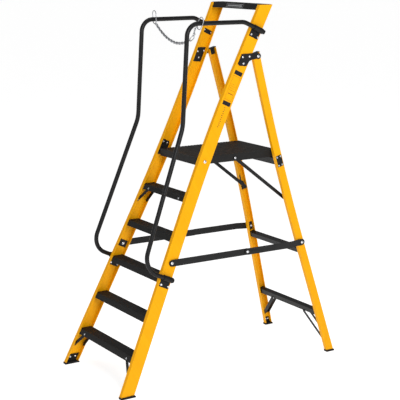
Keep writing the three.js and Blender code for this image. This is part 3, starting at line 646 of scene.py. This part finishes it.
def snap_hook():
    """Carbine hook bent from wire, with its sprung gate in the open side."""
    radius = HOOK["width"] / 2
    straight = HOOK["length"] / 2 - radius
    path = [hook_point(straight - 0.008, radius), hook_point(straight - 0.004, radius)]
    for end, first in ((1, math.pi / 2), (-1, -math.pi / 2)):
        for k in range(13):
            angle = first - math.pi * k / 12
            path.append(hook_point(end * straight + radius * math.cos(angle),
                                   radius * math.sin(angle)))
    path.append(hook_point(-straight + 0.0032, radius))
    bm = bmesh.new()
    sweep(bm, path, HOOK["wire"], 14, dome=0.0003)
    stand_for(as_object("snap_hook_wire", bm, MATERIALS["zinc_steel"]), "snap_hook")
    tip = straight - 0.0086
    heel = -straight + 0.0046
    bm = bmesh.new()
    profile = [(heel, 0.0022), (heel + 0.003, 0.0022), (heel + 0.0036, 0.0017),
               (tip - 0.0042, 0.0017), (tip - 0.0036, 0.0022), (tip, 0.0022)]
    axis = (hook_point(1, 0) - hook_point(0, 0)).normalized()
    lathe(bm, hook_point(0, radius), axis, [(r, u) for u, r in profile], 14)
    stand_for(as_object("snap_gate_turned", bm, MATERIALS["zinc_steel"]), "snap_gate")


# centre and heading in the chain's plane, then length and width of the wire's centre line
RINGS = {"chain_ring_left": ((-0.292, 2.3945), (-0.1, 1), 0.088, 0.044),
         "chain_ring_right": ((0.287, 2.380), (0.62, 0.78), 0.090, 0.048)}
for ring_name, ring in RINGS.items():
    chain_ring(ring_name, *ring)
snap_hook()


# ---------------------------------------------------------------- labels and badge
STICKER_STEP = 0.012    # largest cell of a film laid on a curved face
FILM_LIFT = 0.0004      # top of a film on a flat face
FILM_UNDER = 0.00005    # its underside, just clear of the face
BAR_AT = (2.058, 2.274)
BAR_HALF = 0.014
BAR_DEPTH = (0.014, 0.078)
BAR_LIFT = 0.0003
PRINT_LIFT = 0.0002
# the panel's four borders, then its blank lines: start and end up the stile, front and back
PANEL_LINES = [
    (2.082, 2.250, 0.016, 0.0175), (2.082, 2.250, 0.0745, 0.076),
    (2.082, 2.0835, 0.0175, 0.0745), (2.2485, 2.250, 0.0175, 0.0745),
    (2.124, 2.129, 0.024, 0.068), (2.150, 2.1515, 0.024, 0.068), (2.164, 2.1655, 0.024, 0.060),
    (2.178, 2.1795, 0.024, 0.068), (2.192, 2.1935, 0.024, 0.052),
]
MARKS = {"count": 11, "first": 1.890, "pitch": 0.0135, "size": 0.0045, "from": 0.041, "to": 0.049,
         "stagger": 0.004}
BADGE = {"half_width": 0.1, "half_height": 0.011, "border": 0.002,
         "stripe_half_width": 0.085, "stripe_half_height": 0.0035}


def on_stile(t, a):
    """Depth and height of a point t up a stile and a back from its front edge."""
    s, c = math.sin(FRONT_LEAN), math.cos(FRONT_LEAN)
    return t * s + a * c + FRAME_SHIFT, t * c - a * s


def solid_surface(node):
    bm = tidy_copy(node)
    tree = BVHTree.FromBMesh(bm)
    bm.free()
    return tree


def sticker(bm, surface, t0, t1, a0, a1, raised):
    """A thin film laid on the stile's outer face, kept to its curve."""
    rows = max(2, round((t1 - t0) / STICKER_STEP)) + 1
    cols = max(2, round((a1 - a0) / STICKER_STEP)) + 1
    grid = []
    for i in range(rows):
        line = []
        for j in range(cols):
            t = t0 + (t1 - t0) * i / (rows - 1)
            a = a0 + (a1 - a0) * j / (cols - 1)
            y, z = on_stile(t, a)
            hit, normal, _, _ = surface.ray_cast(Vector((1, y, z)), Vector((-1, 0, 0)))
            line.append((bm.verts.new(hit + normal * raised),
                         bm.verts.new(hit + normal * FILM_UNDER)))
        grid.append(line)
    for i in range(rows - 1):
        for j in range(cols - 1):
            for layer in (0, 1):
                bm.faces.new([grid[i][j][layer], grid[i + 1][j][layer],
                              grid[i + 1][j + 1][layer], grid[i][j + 1][layer]])
    rim = [grid[0][j] for j in range(cols)] + [grid[i][-1] for i in range(1, rows)]
    rim += [grid[-1][j] for j in range(cols - 2, -1, -1)]
    rim += [grid[i][0] for i in range(rows - 2, 0, -1)]
    for k, (top, low) in enumerate(rim):
        next_top, next_low = rim[(k + 1) % len(rim)]
        bm.faces.new((top, next_top, next_low, low))


def labels():
    """Blank films: two black bars, a framed panel between them and a row of small marks."""
    node = "stile_right"
    surface = solid_surface(node)
    bars = bmesh.new()
    for t in BAR_AT:
        sticker(bars, surface, t - BAR_HALF, t + BAR_HALF, *BAR_DEPTH, BAR_LIFT)
    for i in range(MARKS["count"]):
        t = MARKS["first"] + MARKS["pitch"] * i
        shift = MARKS["stagger"] * (i % 2)
        sticker(bars, surface, t, t + MARKS["size"],
                MARKS["from"] + shift, MARKS["to"] + shift, PRINT_LIFT)
    print_lines = bmesh.new()
    for line in PANEL_LINES:
        sticker(print_lines, surface, *line, PRINT_LIFT)
    for name, bm, material in (("stile_label_bars", bars, "label_dark"),
                               ("stile_label_panel", print_lines, "label_brown")):
        piece = as_object(name, bm, MATERIALS[material])
        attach(piece, BODY_OF[node])


def badge():
    """Blank plate with a pale border on the front of the top rail."""
    node = "top_rail"
    surface = solid_surface(node)
    (_, _, low), (_, _, high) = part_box(node)
    bm = bmesh.new()
    middle = (low + high) / 2
    w, h, edge = BADGE["half_width"], BADGE["half_height"], BADGE["border"]
    stripe_w, stripe_h = BADGE["stripe_half_width"], BADGE["stripe_half_height"]
    for x0, x1, z0, z1 in ((-w, w, h - edge, h), (-w, w, -h, edge - h),
                           (-w, edge - w, edge - h, h - edge), (w - edge, w, edge - h, h - edge),
                           (-stripe_w, stripe_w, -stripe_h, stripe_h)):
        film(bm, surface, x0, x1, middle + z0, middle + z1)
    piece = as_object("top_rail_badge", bm, MATERIALS["label_pale"])
    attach(piece, BODY_OF[node])


def film(bm, surface, x0, x1, z0, z1):
    """A thin rectangle laid on a surface that faces the front."""
    rows = []
    for z in (z0, z1):
        for x in (x0, x1):
            hit, normal, _, _ = surface.ray_cast(Vector((x, -2, z)), Vector((0, 1, 0)))
            rows.append([bm.verts.new(hit + normal * lift) for lift in (FILM_LIFT, FILM_UNDER)])
    loop = [rows[0], rows[1], rows[3], rows[2]]
    bm.faces.new([pair[0] for pair in loop])
    bm.faces.new([pair[1] for pair in loop[::-1]])
    for k in range(4):
        top, low = loop[k]
        next_top, next_low = loop[(k + 1) % 4]
        bm.faces.new((top, low, next_low, next_top))


labels()
badge()


# ---------------------------------------------------------------- studio
FLOOR_SIZE = 120
FLOOR_DROP = 0.0005
SKY_STRENGTH = 0.34
LIGHT_AIM = (0, 0, 1.2)
# place, diameter and power
LIGHTS = {"key": ((6.5, -1.5, 4.0), 3.0, 250), "fill": ((1.5, -7.0, 3.5), 3.0, 40),
          "top": ((0, 0, 7.0), 4.0, 60)}


def area_light(name, at, size, power):
    data = bpy.data.lights.new(name, "AREA")
    data.shape = "DISK"
    data.size = size
    data.energy = power
    lamp = new_object(name, data)
    lamp.location = at
    lamp.rotation_euler = (Vector(LIGHT_AIM) - Vector(at)).to_track_quat("-Z", "Y").to_euler()


def studio():
    bm = bmesh.new()
    bmesh.ops.create_grid(bm, x_segments=1, y_segments=1, size=FLOOR_SIZE)
    floor = as_object("floor", bm, floor_paint("studio_floor"), smooth=False)
    floor.location = (0, 0, -FLOOR_DROP)
    world = bpy.data.worlds.new("studio")
    bpy.context.scene.world = world
    world.use_nodes = True
    sky = world.node_tree.nodes["Background"]
    sky.inputs["Color"].default_value = (1, 1, 1, 1)
    sky.inputs["Strength"].default_value = SKY_STRENGTH
    for name, (at, size, power) in LIGHTS.items():
        area_light(name, at, size, power)
    bpy.context.scene.view_settings.view_transform = "Standard"


studio()
